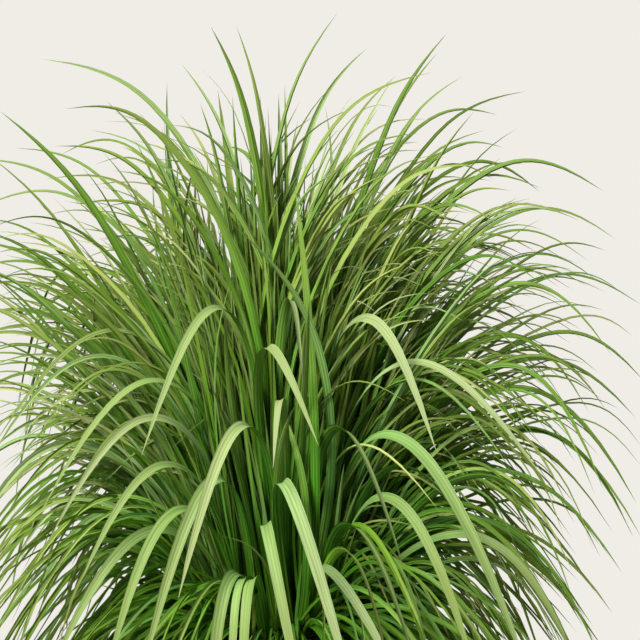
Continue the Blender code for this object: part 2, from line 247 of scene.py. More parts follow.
leafLook = {
    "greens": (
        (0.0, (0.100, 0.230, 0.105)),  # bluish
        (0.3, (0.038, 0.182, 0.003)),  # deep
        (0.62, (0.105, 0.340, 0.003)),  # fresh
        (1.0, (0.240, 0.400, 0.004)),  # lime
    ),
    "upperPale": (0.465, 0.510, 0.430), "vein": (0.380, 0.540, 0.180), "olive": (0.310, 0.330, 0.110),
    "base": (0.160, 0.280, 0.035), "tip": (0.330, 0.270, 0.110),
    # by a leaf's lightness, for its lower face and for its upper one: darker leaves are also greener
    "lightness": ((0.0, (0.46, 0.62, 0.22)), (0.5, (1.14, 1.24, 0.90)), (1.0, (1.50, 1.46, 2.20))),
    "paleness": ((0.0, (0.38, 0.60, 0.14)), (0.35, (0.66, 0.78, 0.56)), (1.0, (1.40, 1.38, 1.40))),
    # from foot to tip: painted shade of the clump's inside, darker toward the foot
    "paintedFootShade": (
        (0.0, (0.56, 0.44, 0.05)),
        (0.18, (0.63, 0.56, 0.09)),
        (0.50, (0.79, 1.00, 0.62)),
        (0.75, (1.05, 1.00, 0.82)),
        (1.0, (1.12, 1.00, 1.00)),
    ),
    "paleFoot": ((0.02, 0.6), (0.08, 0.0)), "oliveAlong": ((0.45, 0.0), (0.86, 0.85)),
    "oliveByHue": ((0.25, 0.25), (0.55, 1.0)),  # the greener a leaf is, the less it turns olive
    "dryEnd": ((1.02, 0.0), (1.07, 0.8)), "dryUneven": 0.10, "veinCount": 1.7, "veinShare": 0.45,
    "midribShare": 0.18, "grooves": ((0.0, 0.68), (0.45, 1.0)),
    "streaks": ((0.25, 0.72), (0.55, 1.0), (0.8, 1.22)), "gloss": ((0.2, 0.47), (0.8, 0.67)),
    "shine": 0.18, "bump": 0.5, "bumpHeight": 0.0004, "letsThrough": 0.27,
    "glowing": (0.230, 0.520, 0.015),  # the light that comes through a leaf
    "glowShare": 0.45,
}


def makeLeafMaterial(name, look):
    material = bpy.data.materials.new(name)
    tree = newTree(material)
    along, across, upper = (attribute(tree, label) for label in ("along", "across", "upper"))
    tone = addNode(tree, "SeparateXYZ")
    feed(tree, tone.inputs[0], attribute(tree, "tone", "Vector"))
    hue, light, start = tone.outputs
    drawn = placeGroup(tree, veinGroup, Count=look["veinCount"], Along=along, Across=across, Seed=start)
    veins, streaks, midrib = drawn.outputs

    paleness = ramp(tree, light, look["paleness"])
    under = multiplied(tree, ramp(tree, hue, look["greens"]), ramp(tree, light, look["lightness"]))
    over = multiplied(tree, look["upperPale"], paleness)
    colour = mixColours(tree, upper, under, over)
    # lighter veins and midrib, darker grooves between them, and streaks
    veinColour = multiplied(tree, look["vein"], paleness)
    for mask, share in ((veins, look["veinShare"]), (midrib, look["midribShare"])):
        colour = mixColours(tree, mathNode(tree, "MULTIPLY", mask, share), colour, veinColour)
    colour = multiplied(tree, colour, greyRamp(tree, veins, look["grooves"]))
    colour = multiplied(tree, colour, greyRamp(tree, streaks, look["streaks"]))
    # painted shade toward the foot, then pale at the foot, olive toward the tip and dry at its end
    colour = multiplied(tree, colour, ramp(tree, along, look["paintedFootShade"]))
    colour = mixColours(tree, greyRamp(tree, along, look["paleFoot"]), colour, look["base"])
    oliveMask = greyRamp(tree, along, look["oliveAlong"])
    oliveMask = mathNode(tree, "MULTIPLY", oliveMask, greyRamp(tree, hue, look["oliveByHue"]))
    colour = mixColours(tree, oliveMask, colour, multiplied(tree, look["olive"], paleness))
    dryness = mathNode(tree, "ADD", along, mathNode(tree, "MULTIPLY", streaks, look["dryUneven"]))
    colour = mixColours(tree, greyRamp(tree, dryness, look["dryEnd"]), colour, look["tip"])

    shader = addNode(tree, "BsdfPrincipled")
    shader.inputs["Specular IOR Level"].default_value = look["shine"]
    feed(tree, shader.inputs["Base Color"], colour)
    feed(tree, shader.inputs["Roughness"], greyRamp(tree, streaks, look["gloss"]))
    addBump(tree, shader, veins, look["bump"], look["bumpHeight"])
    through = addNode(tree, "BsdfTranslucent")
    feed(tree, through.inputs["Color"], mixColours(tree, look["glowShare"], colour, look["glowing"]))
    showSurface(tree, mixShaders(tree, look["letsThrough"], shader, through))
    return material


def crossSection(sides):
    # places across the upper face from edge to edge and back along the lower one, and which are on the
    # lower face and on its keel
    upper = np.linspace(-1.0, 1.0, sides + 1)
    across = np.concatenate((upper, upper[-2:0:-1]))
    below = (np.arange(len(across)) > sides) * 1.0
    return {"across": across, "below": below, "keel": below * (across == 0), "sides": sides}


mainSection = crossSection(4)
fineSection = crossSection(2)

leafShape = {
    "sections": 26, "fineSections": 21, "arcSteps": 20, "smoothingSteps": 64, "smoothings": 9,
    "bendWeight": 2.0,
    "cadShare": 0.5,  # the bend's place along a solid's leaf
    "cadWidth": 0.891,  # and how much of its width it has there
    "footWidth": 0.0034, "pointPower": 6.5,
    "levelLeast": 0.35,  # keeps the bend of a leaf that folds back on itself round
    "tall": 0.74,  # leaves that reach higher than this are broader
    "tallWider": 1.30,
    "wider": 1.13,  # a solid's leaf is a little narrower than the real one
    "thickness": 0.00022, "keel": 0.0007, "keelFade": 1.2, "sharpAngle": 50,
    # at most these shares of half the width
    "thicknessShare": 0.2, "keelShare": 0.45,
    # how far each half of the blade is folded up
    "foldFoot": radians(58), "foldMiddle": radians(39), "foldTip": radians(37),
    # shares of the length by which it has turned, grown to its width and opened, and from which it changes
    "turnedBy": 0.35, "grownBy": 0.28, "openBy": 0.5, "twistFrom": 0.45, "tipFrom": 0.6,
}

# columns of a leaf's strip on its map: the middle of each face and how far it spreads, in leaf widths
leafMap = {
    "upper": (0.25, 0.22), "lower": (0.75, -0.22), "sheath": (0.5, 0.4), "foot": (0.25, 0.2),
    "footHeight": -0.008, "margin": 0.01,
}

# the sheath that a leaf grows from
sheathShape = {
    "radii": (0.0034, 0.0033, 0.0031, 0.0028, 0.0024), "sides": 8,
    "colourShare": 0.05,  # it has the colours of this first part of a leaf
    "hollow": 0.5,
    "seam": (0.3, 1.0, 0.1),  # the way that its seam faces
    "inward": 0.5,  # how far its foot stands toward the leaf's root
    "depth": 0.004, "reach": (1.0, 1.3),
}


def unit(vectors):
    return vectors / norm(vectors, axis=-1, keepdims=True)


def polar(radius, around, height):
    return radius * cos(around), radius * sin(around), height


def arc(start, middle, end, t):
    return start * (1 - t) ** 2 + middle * 2 * t * (1 - t) + end * t * t


def sideways(way):
    side = np.array([-way[1], way[0], 0.0])
    return side / max(norm(side), tiny)


def respaced(points, count, bendWeight):
    # as many points as asked for, closer together where the line bends
    steps = np.diff(points, axis=0)
    lengths = norm(steps, axis=1)
    ways = steps / lengths[:, None]
    weights = lengths / lengths.sum()
    weights[1:] += bendWeight * np.arccos(np.clip((ways[:-1] * ways[1:]).sum(axis=1), -1, 1)) / pi
    places = np.concatenate(([0.0], np.cumsum(weights))) / weights.sum()
    wanted = np.linspace(0, 1, count)
    return np.column_stack([np.interp(wanted, places, points[:, axis]) for axis in range(3)])


def leafLine(foot, root, bend, tip, count):
    # straight up the sheath, then two arcs that meet at the bend, all smoothed
    rise, fall = bend - root, tip - bend
    level = (unit(rise) + unit(fall)) / 2
    level = level * max(1.0, leafShape["levelLeast"] / norm(level))
    points = [foot]
    t = np.linspace(0, 1, leafShape["arcSteps"])[:, None]
    for start, middle, end in (
        (root, bend - level * norm(rise) / 2, bend),
        (bend, bend + level * norm(fall) / 2, tip),
    ):
        places = arc(start, middle, end, t)
        points.extend(places if start is root else places[1:])
    line = respaced(np.array(points), leafShape["smoothingSteps"], 0.0)
    for _ in range(leafShape["smoothings"]):
        line[1:-1] = (line[:-2] + 2 * line[1:-1] + line[2:]) / 4
    return respaced(line, count, leafShape["bendWeight"])


def lineOffset(line):
    # how far to its left the leaf has the clump's middle, at its highest place
    flat = (line[-1] - line[0])[:2]
    high = line[int(np.argmax(line[:, 2]))][:2]
    return (flat[0] * high[1] - flat[1] * high[0]) / max(norm(flat), tiny)


def smoothStep(x):
    x = np.clip(x, 0.0, 1.0)
    return x * x * (3 - 2 * x)


def addObject(name, data):
    thing = bpy.data.objects.new(name, data)
    scene.collection.objects.link(thing)
    return thing


def addMesh(name, points, faces, material, sharpAngle):
    mesh = bpy.data.meshes.new(name)
    mesh.from_pydata(points, [], faces)
    mesh.materials.append(material)
    mesh.shade_smooth()
    mesh.set_sharp_from_angle(angle=radians(sharpAngle))
    return addObject(name, mesh)


class LeafMesh:
    # gathers the leaves of one piece

    def __init__(self):
        self.points, self.faces, self.maps = [], [], []
        self.along, self.across, self.upper, self.tone = [], [], [], []
        self.count = 0

    def addLeaf(self, line, width, roll, twist, tone, wave, section, foldShare=1.0):
        shape = leafShape
        steps = norm(np.diff(line, axis=0), axis=1)
        run = np.concatenate(([0.0], np.cumsum(steps)))
        share = run / run[-1]
        # a slight sideways wave
        side = sideways(line[-1] - line[0])
        sway = wave[0] * np.sin(wave[1] + share * wave[2]) * share
        line = line + side * sway[:, None] * run[-1]
        tangent = unit(np.gradient(line, axis=0))
        under = unit(np.cross(side, tangent))
        left = np.cross(tangent, under)
        twisting, ending = ((share - shape[name]) / (1 - shape[name]) for name in ("twistFrom", "tipFrom"))
        turn = roll * smoothStep(share / shape["turnedBy"]) + twist * smoothStep(twisting)
        c, s = np.cos(turn)[:, None], np.sin(turn)[:, None]
        left, under = left * c - under * s, under * c + left * s

        grown = smoothStep(share / shape["grownBy"])
        half = (shape["footWidth"] + (width - shape["footWidth"]) * grown) / 2
        half = half * (1 - share ** shape["pointPower"])
        fold = shape["foldFoot"] + (shape["foldMiddle"] - shape["foldFoot"]) * grown
        fold = fold + (shape["foldTip"] - shape["foldMiddle"]) * smoothStep(ending)
        fold = fold * (1 - (1 - foldShare) * smoothStep(share / shape["openBy"]))
        thin = np.minimum(shape["thickness"], half * shape["thicknessShare"])
        keel = np.minimum(shape["keel"] * (shape["keelFade"] - share), half * shape["keelShare"])

        across = section["across"]
        half, fold, thin, keel = (value[:-1, None] for value in (half, fold, thin, keel))
        out = (across * half * np.cos(fold))[..., None]
        up = np.abs(across) * half * np.sin(fold)
        up = (up - section["below"] * thin - section["keel"] * (keel - thin))[..., None]
        body = line[:-1, None, :] + left[:-1, None, :] * out - under[:-1, None, :] * up
        sides = section["sides"]
        pale = [tone[3]] * sides + [0.0] * sides
        middles = [leafMap["upper"]] * sides + [leafMap["lower"]] * sides
        self.addStrip(body, line[-1], share, across, tone[:3], pale, middles)

    def addSheath(self, line, tone):
        # a closed tube whose upper end is a hollow cone
        sides, radii = sheathShape["sides"], np.array(sheathShape["radii"])
        angles = np.linspace(0, tau, sides, endpoint=False)
        tangent = unit(np.gradient(line, axis=0))
        left = unit(np.cross(tangent, sheathShape["seam"]))[:, None, :]
        up = np.cross(left[:, 0, :], tangent)[:, None, :]
        rim = np.cos(angles)[None, :, None] * left + np.sin(angles)[None, :, None] * up
        body = line[:, None, :] + rim * radii[:, None, None]
        share = np.linspace(0.0, sheathShape["colourShare"], len(line) + 1)
        end = line[-1] - tangent[-1] * radii[-1] * sheathShape["hollow"]
        middles = [leafMap["sheath"]] * sides
        self.addStrip(body, end, share, np.cos(angles), tone[:3], [0.0] * sides, middles)

    def addStrip(self, body, end, share, across, tone, pale, middles):
        # rows of points joined to each other and to an end point
        first = len(self.along)
        rows, sides = body.shape[:2]
        self.points.append(body.reshape(-1, 3))
        self.points.append(end[None, :])
        self.along.extend(np.repeat(share[:rows], sides))
        self.along.append(share[-1])
        self.across.extend(np.tile(across, rows))
        self.across.append(0.0)
        self.tone.extend([tone] * (rows * sides + 1))
        spots = []
        for k in range(sides):
            middle, spread = middles[k]
            spots.append((middle + spread * across[k], middle + spread * across[(k + 1) % sides]))
        for row in range(rows - 1):
            low = first + row * sides
            for k in range(sides):
                nextK = (k + 1) % sides
                self.faces.append((low + k, low + nextK, low + sides + nextK, low + sides + k))
                one, two = spots[k]
                self.addMap((one, two, two, one), (share[row], share[row], share[row + 1], share[row + 1]))
        last = first + (rows - 1) * sides
        for k in range(sides):
            self.faces.append((last + k, last + (k + 1) % sides, last + sides))
            one, two = spots[k]
            self.addMap((one, two, (one + two) / 2), (share[rows - 1], share[rows - 1], share[-1]))
        self.upper.extend(pale * rows)
        self.faces.append(tuple(first + k for k in reversed(range(sides))))
        self.upper.append(0.0)
        middle, spread = leafMap["foot"]
        foot = [middle + spread * across[k] for k in reversed(range(sides))]
        self.addMap(foot, [leafMap["footHeight"]] * sides)
        self.count += 1

    def addMap(self, places, heights):
        # one column of the map for each leaf
        margin = leafMap["margin"]
        for place, height in zip(places, heights):
            self.maps.append((self.count + place, margin + (1 - 2 * margin) * height))

    def build(self, name, material):
        points = np.concatenate(self.points).tolist()
        piece = addMesh(name, points, self.faces, material, leafShape["sharpAngle"])
        mesh = piece.data
        for label, domain, values in (
            ("along", "POINT", self.along),
            ("across", "POINT", self.across),
            ("upper", "FACE", self.upper),
        ):
            layer = mesh.attributes.new(label, "FLOAT", domain)
            layer.data.foreach_set("value", np.array(values, dtype=np.float32))
        layer = mesh.attributes.new("tone", "FLOAT_VECTOR", "POINT")
        layer.data.foreach_set("vector", np.array(self.tone, dtype=np.float32).ravel())
        places = np.array(self.maps, dtype=np.float32)
        places[:, 0] /= self.count
        mesh.uv_layers.new(name="OFBake").data.foreach_set("uv", places.ravel())
        return piece


# the solids' leaves, read from the frame: chains of three-cornered sections from a tip to a sheath
leafRings = 8


def ringsBelow(tip):
    seen, ring, rings = {tip}, [tip], []
    while len(rings) < leafRings:
        near = {edge.other_vert(vert) for vert in ring for edge in vert.link_edges} - seen
        if len(near) != 3:
            return None
        seen |= near
        ring = sorted(near, key=lambda vert: vert.index)  # the same order in every run
        rings.append([np.array(vert.co) for vert in ring])
    return rings


def edgesOf(ring):
    pairs = ((ring[0], ring[1]), (ring[1], ring[2]), (ring[2], ring[0]))
    return max(pairs, key=lambda pair: norm(pair[0] - pair[1]))


def readLeaf(tip, rings):
    root = sum(rings[-1]) / 3
    one, two = edgesOf(rings[3])
    bend, end = (one + two) / 2, np.array(tip.co)
    edge = one - two
    width = norm(edge) / leafShape["cadWidth"]
    tangent = unit(unit(bend - root) + unit(end - bend))
    under = unit(np.cross(sideways(end - root), tangent))
    left = np.cross(tangent, under)
    edge = unit(edge) * np.sign(edge @ left)
    roll = atan2(-edge @ under, edge @ left) / leafShape["cadShare"]
    return {"root": root, "bend": bend, "tip": end, "width": width, "roll": roll}


def readTuft(node):
    form = bmesh.new()
    form.from_mesh(bpy.data.objects[node].data)
    bmesh.ops.remove_doubles(form, verts=form.verts, dist=weldDistance)
    form.verts.index_update()
    leaves = []
    for vert in form.verts:
        rings = ringsBelow(vert) if len(vert.link_edges) == 3 else None
        if rings:
            leaves.append(readLeaf(vert, rings))
    low = min(vert.co.z for vert in form.verts)
    footRing = [np.array(vert.co) for vert in form.verts if vert.co.z < low + levelRoom]
    form.free()
    return sum(footRing) / len(footRing), leaves


# the finer leaves of a tuft. Each grows beside one of its main leaves and departs from it by its kind:
# followers run along it, inner ones stay shorter and steeper, and upright ones fill the front, where
# single leaves arch over
fineLeaves = {
    "perLeaf": (17.0, 20.0),
    "heightShare": (0.42, 1.50),  # lower and taller main leaves have this share of them
    "lowBend": 0.40,  # lower ones bend no higher than this
    "bendRange": 0.40, "footSpread": 0.0075, "footDepth": 0.002, "sheath": (0.030, 0.060),
    "width": (0.0040, 0.0076),
    "tallWidth": 0.35,  # those that reach higher are broader by up to this share
    "tallFrom": 0.55, "tallRange": 0.25,
    # how far it sways as a share of its length, where in a wave it starts and how far that runs
    "wave": ((0.002, 0.012), (0, tau), (3, 8)),
    "roll": (0.40, 1.20), "outward": (1, 1, 1, -1), "twist": 0.3, "followers": 0.62,
    "frontSpread": radians(50), "tries": 12, "redraws": 6, "shrink": 0.93, "clearance": 0.005,
    "top": (0.42, 0.64),  # only main leaves reach higher than this over the soil
}
# in each kind, light and pale are painted shade for leaves that stand deeper in the clump: darker, with
# less pale upper faces
fineKinds = {
    "follower": {
        "hue": 1.10, "light": 1.0, "pale": 1.0, "size": (0.64, 1.0), "turn": 0.16, "tipTurn": 0.08,
        "tilt": (0.0, 0.10), "reach": (0.92, 1.05), "tail": (0.62, 0.98), "lift": (0.0, 0.15),
    },
    "inner": {
        "hue": 0.82, "light": 0.85, "pale": 0.6, "size": (0.45, 0.85), "turn": 0.30, "tipTurn": 0.12,
        "tilt": (0.08, 0.14), "reach": (0.45, 0.95), "tail": (0.55, 0.95), "lift": (0.40, 0.95),
    },
    "upright": {
        "hue": 0.72, "light": 0.58, "pale": 0.2, "size": (0.75, 1.15), "turn": 0.40, "tipTurn": 0.20,
        "tilt": (0.0, 0.08), "reach": (0.10, 0.45), "tail": (0.35, 0.75), "lift": (0.70, 1.0),
    },
}

# low leaves round the clump: how many for each outer tuft, and how far out and how high over the soil
# the bend and the tip are
# their light and pale are painted shade: these low leaves are darker, with less pale upper faces
skirt = {
    "fromRadius": 0.030, "each": 11, "frontEach": 6, "spread": 0.40, "sway": 0.12, "alike": 0.65,
    "bendOut": (0.09, 0.21), "bendUp": (0.06, 0.26), "tipOut": (0.23, 0.36), "tipUp": (-0.09, 0.15),
    "hue": 1.22, "light": 0.50, "pale": 0.4,
}
# and shorter ones that hide the pot's rim and the soil
# their light and pale are painted shade as well: darker, with less pale upper faces
lowSkirt = {
    "fromRadius": 0.020, "each": 9, "frontEach": 4, "spread": 0.55, "sway": 0.15, "alike": 0.65,
    "bendOut": (0.07, 0.13), "bendUp": (0.05, 0.11), "tipOut": (0.18, 0.25), "tipUp": (-0.07, 0.02),
    "hue": 1.22, "light": 0.42, "pale": 0.3,
}

# small leaves that stand out in the picture: bend and tip, each across, up and toward, and width, in mm
smallLeaves = (
    (68, 318, 120, 136, 295, 150, 4.5),
    (80, 256, 100, 165, 188, 160, 5.0),
    (108, 228, 60, 178, 198, 90, 5.5),
    (72, 439, 90, 97, 426, 100, 4.0),
    (112, 440, 80, 153, 421, 100, 4.5),
    (150, 447, 60, 205, 440, 70, 4.5),
    (-100, 378, 90, -136, 372, 100, 4.0),
    (-100, 436, 70, -131, 432, 80, 4.0),
    (-20, 150, 150, -58, 164, 165, 4.0),
    (-40, 590, -110, -75, 632, -130, 4.0),
    (98, 602, -70, 121, 592, -80, 3.5),
    (60, 580, -100, 82, 610, -110, 4.0),
    (-95, 556, -60, -172, 579, -90, 3.5),
)

# tones of single main leaves: across and up of the bend in mm, then hue, lightness and how pale the upper
# face is, in hundredths
tonesByEye = (
    (230, 539, 42, 30, 20), (190, 510, 45, 35, 25), (-205, 512, 40, 30, 20),
    (-215, 482, 38, 28, 30), (-150, 559, 52, 22, 22), (-175, 524, 38, 32, 25),
    (-175, 480, 36, 15, 10), (-225, 435, 34, 15, 10), (-215, 425, 38, 20, 15),
    (-28, 585, 40, 20, 20), (12, 590, 36, 30, 45), (115, 578, 36, 25, 20),
    (112, 570, 40, 35, 25), (130, 572, 40, 40, 35), (165, 570, 44, 30, 25),
    (160, 587, 35, 42, 35), (-45, 550, 6, 42, 35), (-105, 530, 10, 40, 25),
    (-115, 535, 32, 40, 35), (-58, 540, 36, 40, 35), (-115, 589, 28, 42, 50),
    (72, 565, 55, 35, 35), (75, 542, 36, 20, 10), (-235, 388, 36, 20, 20),
    (270, 425, 40, 20, 15), (235, 366, 36, 25, 15), (235, 337, 36, 25, 30),
    (240, 314, 38, 25, 20), (38, 580, 2, 45, 35), (-165, 190, 4, 50, 25),
    (-135, 586, 60, 30, 15), (-92, 470, 84, 45, 20), (-15, 590, 72, 35, 20),
    (60, 577, 84, 36, 15), (125, 517, 82, 50, 25), (73, 150, 88, 55, 30),
    (45, 345, 15, 70, 80), (255, 342, 15, 60, 70), (-45, 125, 48, 40, 62),
    (-35, 118, 52, 42, 62),
)
toneReach = 0.006  # how near a leaf's bend is to such a place

# main leaves near the viewer stand out: no fine leaf crosses in front of them or passes close behind
heroLeaves = {
    "toward": 0.09,  # they bend this far toward the viewer
    "room": 0.009,
    "wider": 1.10,
    "fold": 0.45,  # they are flatter than the others
    "roll": 0.45,
    "steps": 36,
}
# other main leaves that pass beside the clump's middle turn their upper faces outward
mainLeaves = {
    "offset": 0.012,
    "roll": 0.60,
    "paleToward": 0.03,  # and those that bend this far toward the viewer show pale ones
    "nearTone": ((0.20, 0.30), (0.21, 0.22), (0.75, 0.50)),  # hue, lightness, paleness: least and range
}

# tones that are drawn: the share of leaves up to each kind with its hues, bluish, deep, fresh and lime
toneKinds = (
    (0.17, (0.0, 0.15)),
    (0.42, (0.25, 0.42)),
    (0.82, (0.45, 0.72)),
    (1.0, (0.75, 0.95)),
)
limeLight = (0.0, 0.35)  # lime leaves are darker, so that none glares
limePale = (0.1, 0.35)
paleByLight = 0.45
paleSpread = 0.2
hueMost = 0.95


def turned(vector, angle):
    c, s = cos(angle), sin(angle)
    return np.array([vector[0] * c - vector[1] * s, vector[0] * s + vector[1] * c, vector[2]])


def drawTone():
    # hue, lightness, seed of the pattern, and how pale the upper face is
    kind = rng.random()
    hues = next(hues for share, hues in toneKinds if kind < share)
    hue = rng.uniform(*hues)
    if hues is toneKinds[-1][1]:
        return hue, rng.uniform(*limeLight), rng.random(), rng.uniform(*limePale)
    light = rng.random()
    return hue, light, rng.random(), paleByLight * light + rng.uniform(0.0, paleSpread)


def changedTone(tone, shares):
    # leaves that stand deeper in the clump get another hue and painted shade: darker, with less pale upper
    # faces
    hue, light, start, pale = tone
    return min(hue * shares["hue"], hueMost), light * shares["light"], start, pale * shares["pale"]


def mainTone(leaf):
    hue, light, start, pale = drawTone()
    if -leaf["bend"][1] > mainLeaves["paleToward"]:
        limits = zip((hue, light, pale), mainLeaves["nearTone"])
        hue, light, pale = (least + spread * value for value, (least, spread) in limits)
    spot = seenSpots(leaf["bend"][None, :])[0][0]
    for across, up, *tone in tonesByEye:
        if norm(spot - np.array([across, up]) / 1000) < toneReach:
            hue, light, pale = (value / 100 for value in tone)
    return hue, light, start, pale


def drawWave():
    return tuple(rng.uniform(*limits) for limits in fineLeaves["wave"])


def facesFront(place):
    return atan2(abs(place[0]), -place[1]) < fineLeaves["frontSpread"]


def footNear(foot):
    around, out = rng.uniform(0, tau), fineLeaves["footSpread"] * sqrt(rng.random())
    return foot + polar(out, around, -fineLeaves["footDepth"])


def tilted(vector, angle):
    # lifted toward upright, or lowered, in its own upright plane
    flat = np.hypot(vector[0], vector[1])
    height = atan2(vector[2], flat) + angle
    length = norm(vector)
    out = length * cos(height) / max(flat, tiny)
    return np.array([vector[0] * out, vector[1] * out, length * sin(height)])


def growFineLeaf(foot, parent, kind):
    growth = fineKinds[kind]
    start = footNear(foot)
    size = rng.uniform(*growth["size"])
    turn, tilt = rng.gauss(0, growth["turn"]), rng.gauss(*growth["tilt"])
    out = rng.uniform(*growth["reach"])
    reach = np.array([out, out, 1.0])
    rise = tilted(turned(parent["bend"] - foot, turn) * reach, tilt) * size
    fall = turned(parent["tip"] - parent["bend"], turn + rng.gauss(0, growth["tipTurn"])) * reach
    fall = tilted(fall, tilt) * size * rng.uniform(*growth["tail"])
    length, lift = norm(fall), rng.uniform(*growth["lift"])
    fall = length * unit(unit(fall) * (1 - lift) + unit(rise) * lift)
    root = start + unit(parent["root"] - foot) * rng.uniform(*fineLeaves["sheath"])
    return start, root, start + rise, start + rise + fall


def growSkirtLeaf(foot, row):
    start = footNear(foot)
    heading = atan2(foot[1], foot[0]) + rng.gauss(0, row["spread"])
    tipHeading = heading + rng.gauss(0, row["sway"])
    share, alike = rng.random(), row["alike"]
    places = []
    for around, out, up in (
        (heading, row["bendOut"], row["bendUp"]),
        (tipHeading, row["tipOut"], row["tipUp"]),
    ):
        distance = out[0] + (out[1] - out[0]) * (alike * share + (1 - alike) * rng.random())
        height = soilTop + up[0] + (up[1] - up[0]) * (alike * share + (1 - alike) * rng.random())
        places.append(np.array(polar(distance, around, height)))
    lean = unit(places[0] - start) + np.array([0.0, 0.0, 1.0])
    root = start + unit(lean) * rng.uniform(*fineLeaves["sheath"])
    return start, root, places[0], places[1]


def gatherHeroes(tufts):
    # where they are seen, but for their first third
    lines, steps = [], heroLeaves["steps"]
    for foot, leaves in tufts:
        for leaf in leaves:
            if -leaf["bend"][1] > heroLeaves["toward"]:
                line = leafLine(foot, leaf["root"], leaf["bend"], leaf["tip"], steps)
                lines.append(line[steps // 3:])
    return seenSpots(np.concatenate(lines))


def hidesHero(line):
    points = np.concatenate((line, (line[:-1] + line[1:]) / 2))
    spots, depths = seenSpots(points)
    heroSpots, heroDepths = heroes
    apart = norm(spots[:, None, :] - heroSpots[None, :, :], axis=2)
    isClose = depths[:, None] < heroDepths[None, :] + heroLeaves["room"]
    return ((apart < heroLeaves["room"]) & isClose).any()


def staysClear(line, top):
    # inside the solids' box, not too high, and clear of the pot's rim
    if (line < cadLow).any() or (line > cadHigh).any() or (line[:, 2] > soilTop + top).any():
        return False
    low = line[line[:, 2] < potTop + fineLeaves["clearance"]][2:]
    out = np.hypot(low[:, 0], low[:, 1])
    return not ((out > crownRoom) & (out < potRadius + fineLeaves["clearance"])).any()


def fittedLine(start, root, bend, tip):
    # a leaf that is too long for its place is shortened toward its foot
    top = rng.uniform(*fineLeaves["top"])
    for _ in range(fineLeaves["tries"]):
        line = leafLine(start, root, bend, tip, leafShape["fineSections"])
        if staysClear(line, top):
            return line
        bend, tip = (start + (place - start) * fineLeaves["shrink"] for place in (bend, tip))
    return None


leafMaterial = makeLeafMaterial("leaf blade", leafLook)
still = (0.0, 0.0, 0.0)  # a leaf without a wave


def addFineLeaf(gathered, grow, tone, *details):
    # grown again where it has no room or would hide a leaf that stands out
    for _ in range(fineLeaves["redraws"]):
        line = fittedLine(*grow(*details))
        if line is not None and not hidesHero(line):
            roll = rng.uniform(*fineLeaves["roll"]) * rng.choice(fineLeaves["outward"])
            roll = copysign(roll, -roll * lineOffset(line))
            twist = rng.gauss(0, fineLeaves["twist"])
            width = rng.uniform(*fineLeaves["width"])
            tall = smoothStep((line[:, 2].max() - fineLeaves["tallFrom"]) / fineLeaves["tallRange"])
            width *= 1 + fineLeaves["tallWidth"] * tall
            gathered.addLeaf(line, width, roll, twist, tone, drawWave(), fineSection)
            return


def addSmallLeaf(gathered, foot, bend, tip, width):
    root = foot + unit(bend - foot) * fineLeaves["sheath"][1]
    line = leafLine(foot, root, bend, tip, leafShape["fineSections"])
    gathered.addLeaf(line, width, fineLeaves["roll"][0], 0.0, drawTone(), still, fineSection)


def addSheaths(gathered, foot, leaves):
    shape = sheathShape
    for leaf in leaves:
        way = (leaf["root"] - foot) * shape["inward"]
        start = foot + np.array([way[0], way[1], -shape["depth"]])
        end = start + (leaf["root"] - start) * rng.uniform(*shape["reach"])
        gathered.addSheath(np.linspace(start, end, len(shape["radii"])), drawTone())


def addMainLeaf(gathered, foot, leaf):
    line = leafLine(foot, leaf["root"], leaf["bend"], leaf["tip"], leafShape["sections"])
    width = leaf["width"] * leafShape["wider"]
    if max(leaf["tip"][2], leaf["bend"][2]) > leafShape["tall"]:
        width *= leafShape["tallWider"]
    roll, offset, foldShare, leastRoll = leaf["roll"], lineOffset(line), 1.0, mainLeaves["roll"]
    if -leaf["bend"][1] > heroLeaves["toward"]:
        width *= heroLeaves["wider"]
        foldShare, leastRoll = heroLeaves["fold"], heroLeaves["roll"]
    if abs(offset) > mainLeaves["offset"]:
        roll = copysign(max(abs(roll), leastRoll), -offset)
    gathered.addLeaf(line, width, roll, 0.0, mainTone(leaf), still, mainSection, foldShare)


def heightShare(leaf):
    least, most = fineLeaves["heightShare"]
    height = (leaf["bend"][2] - fineLeaves["lowBend"]) / fineLeaves["bendRange"]
    return least + (most - least) * smoothStep(height)


def addTuft(number, foot, leaves, small):
    gathered = LeafMesh()
    for leaf in leaves:
        addMainLeaf(gathered, foot, leaf)
    addSheaths(gathered, foot, leaves)
    shares = [heightShare(leaf) for leaf in leaves]
    for _ in range(round(sum(shares) * rng.uniform(*fineLeaves["perLeaf"]))):
        parent = rng.choices(leaves, weights=shares)[0]
        kind = "follower" if rng.random() < fineLeaves["followers"] else "inner"
        if facesFront(parent["tip"]):
            kind = "upright"
        tone = changedTone(drawTone(), fineKinds[kind])
        addFineLeaf(gathered, growFineLeaf, tone, foot, parent, kind)
    for row in (skirt, lowSkirt):
        if hypot(foot[0], foot[1]) > row["fromRadius"]:
            for _ in range(row["frontEach" if facesFront(foot) else "each"]):
                addFineLeaf(gathered, growSkirtLeaf, changedTone(drawTone(), row), foot, row)
    for details in small:
        addSmallLeaf(gathered, foot, *details)
    piece = gathered.build(f"leaves_{number:02d}", leafMaterial)
    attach(piece, "root")
    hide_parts(f"tuft_{number:02d}")
    return gathered.count


def shareSmallLeaves(feet):
    # each small leaf goes to the tuft whose foot is nearest to its bend, seen from above
    shares = [[] for _ in feet]
    for row in smallLeaves:
        bend, tip = seenPoint(*np.array(row[:3]) / 1000), seenPoint(*np.array(row[3:6]) / 1000)
        apart = [np.hypot(*(foot - bend)[:2]) for foot in feet]
        shares[int(np.argmin(apart))].append((bend, tip, row[6] / 1000))
    return shares


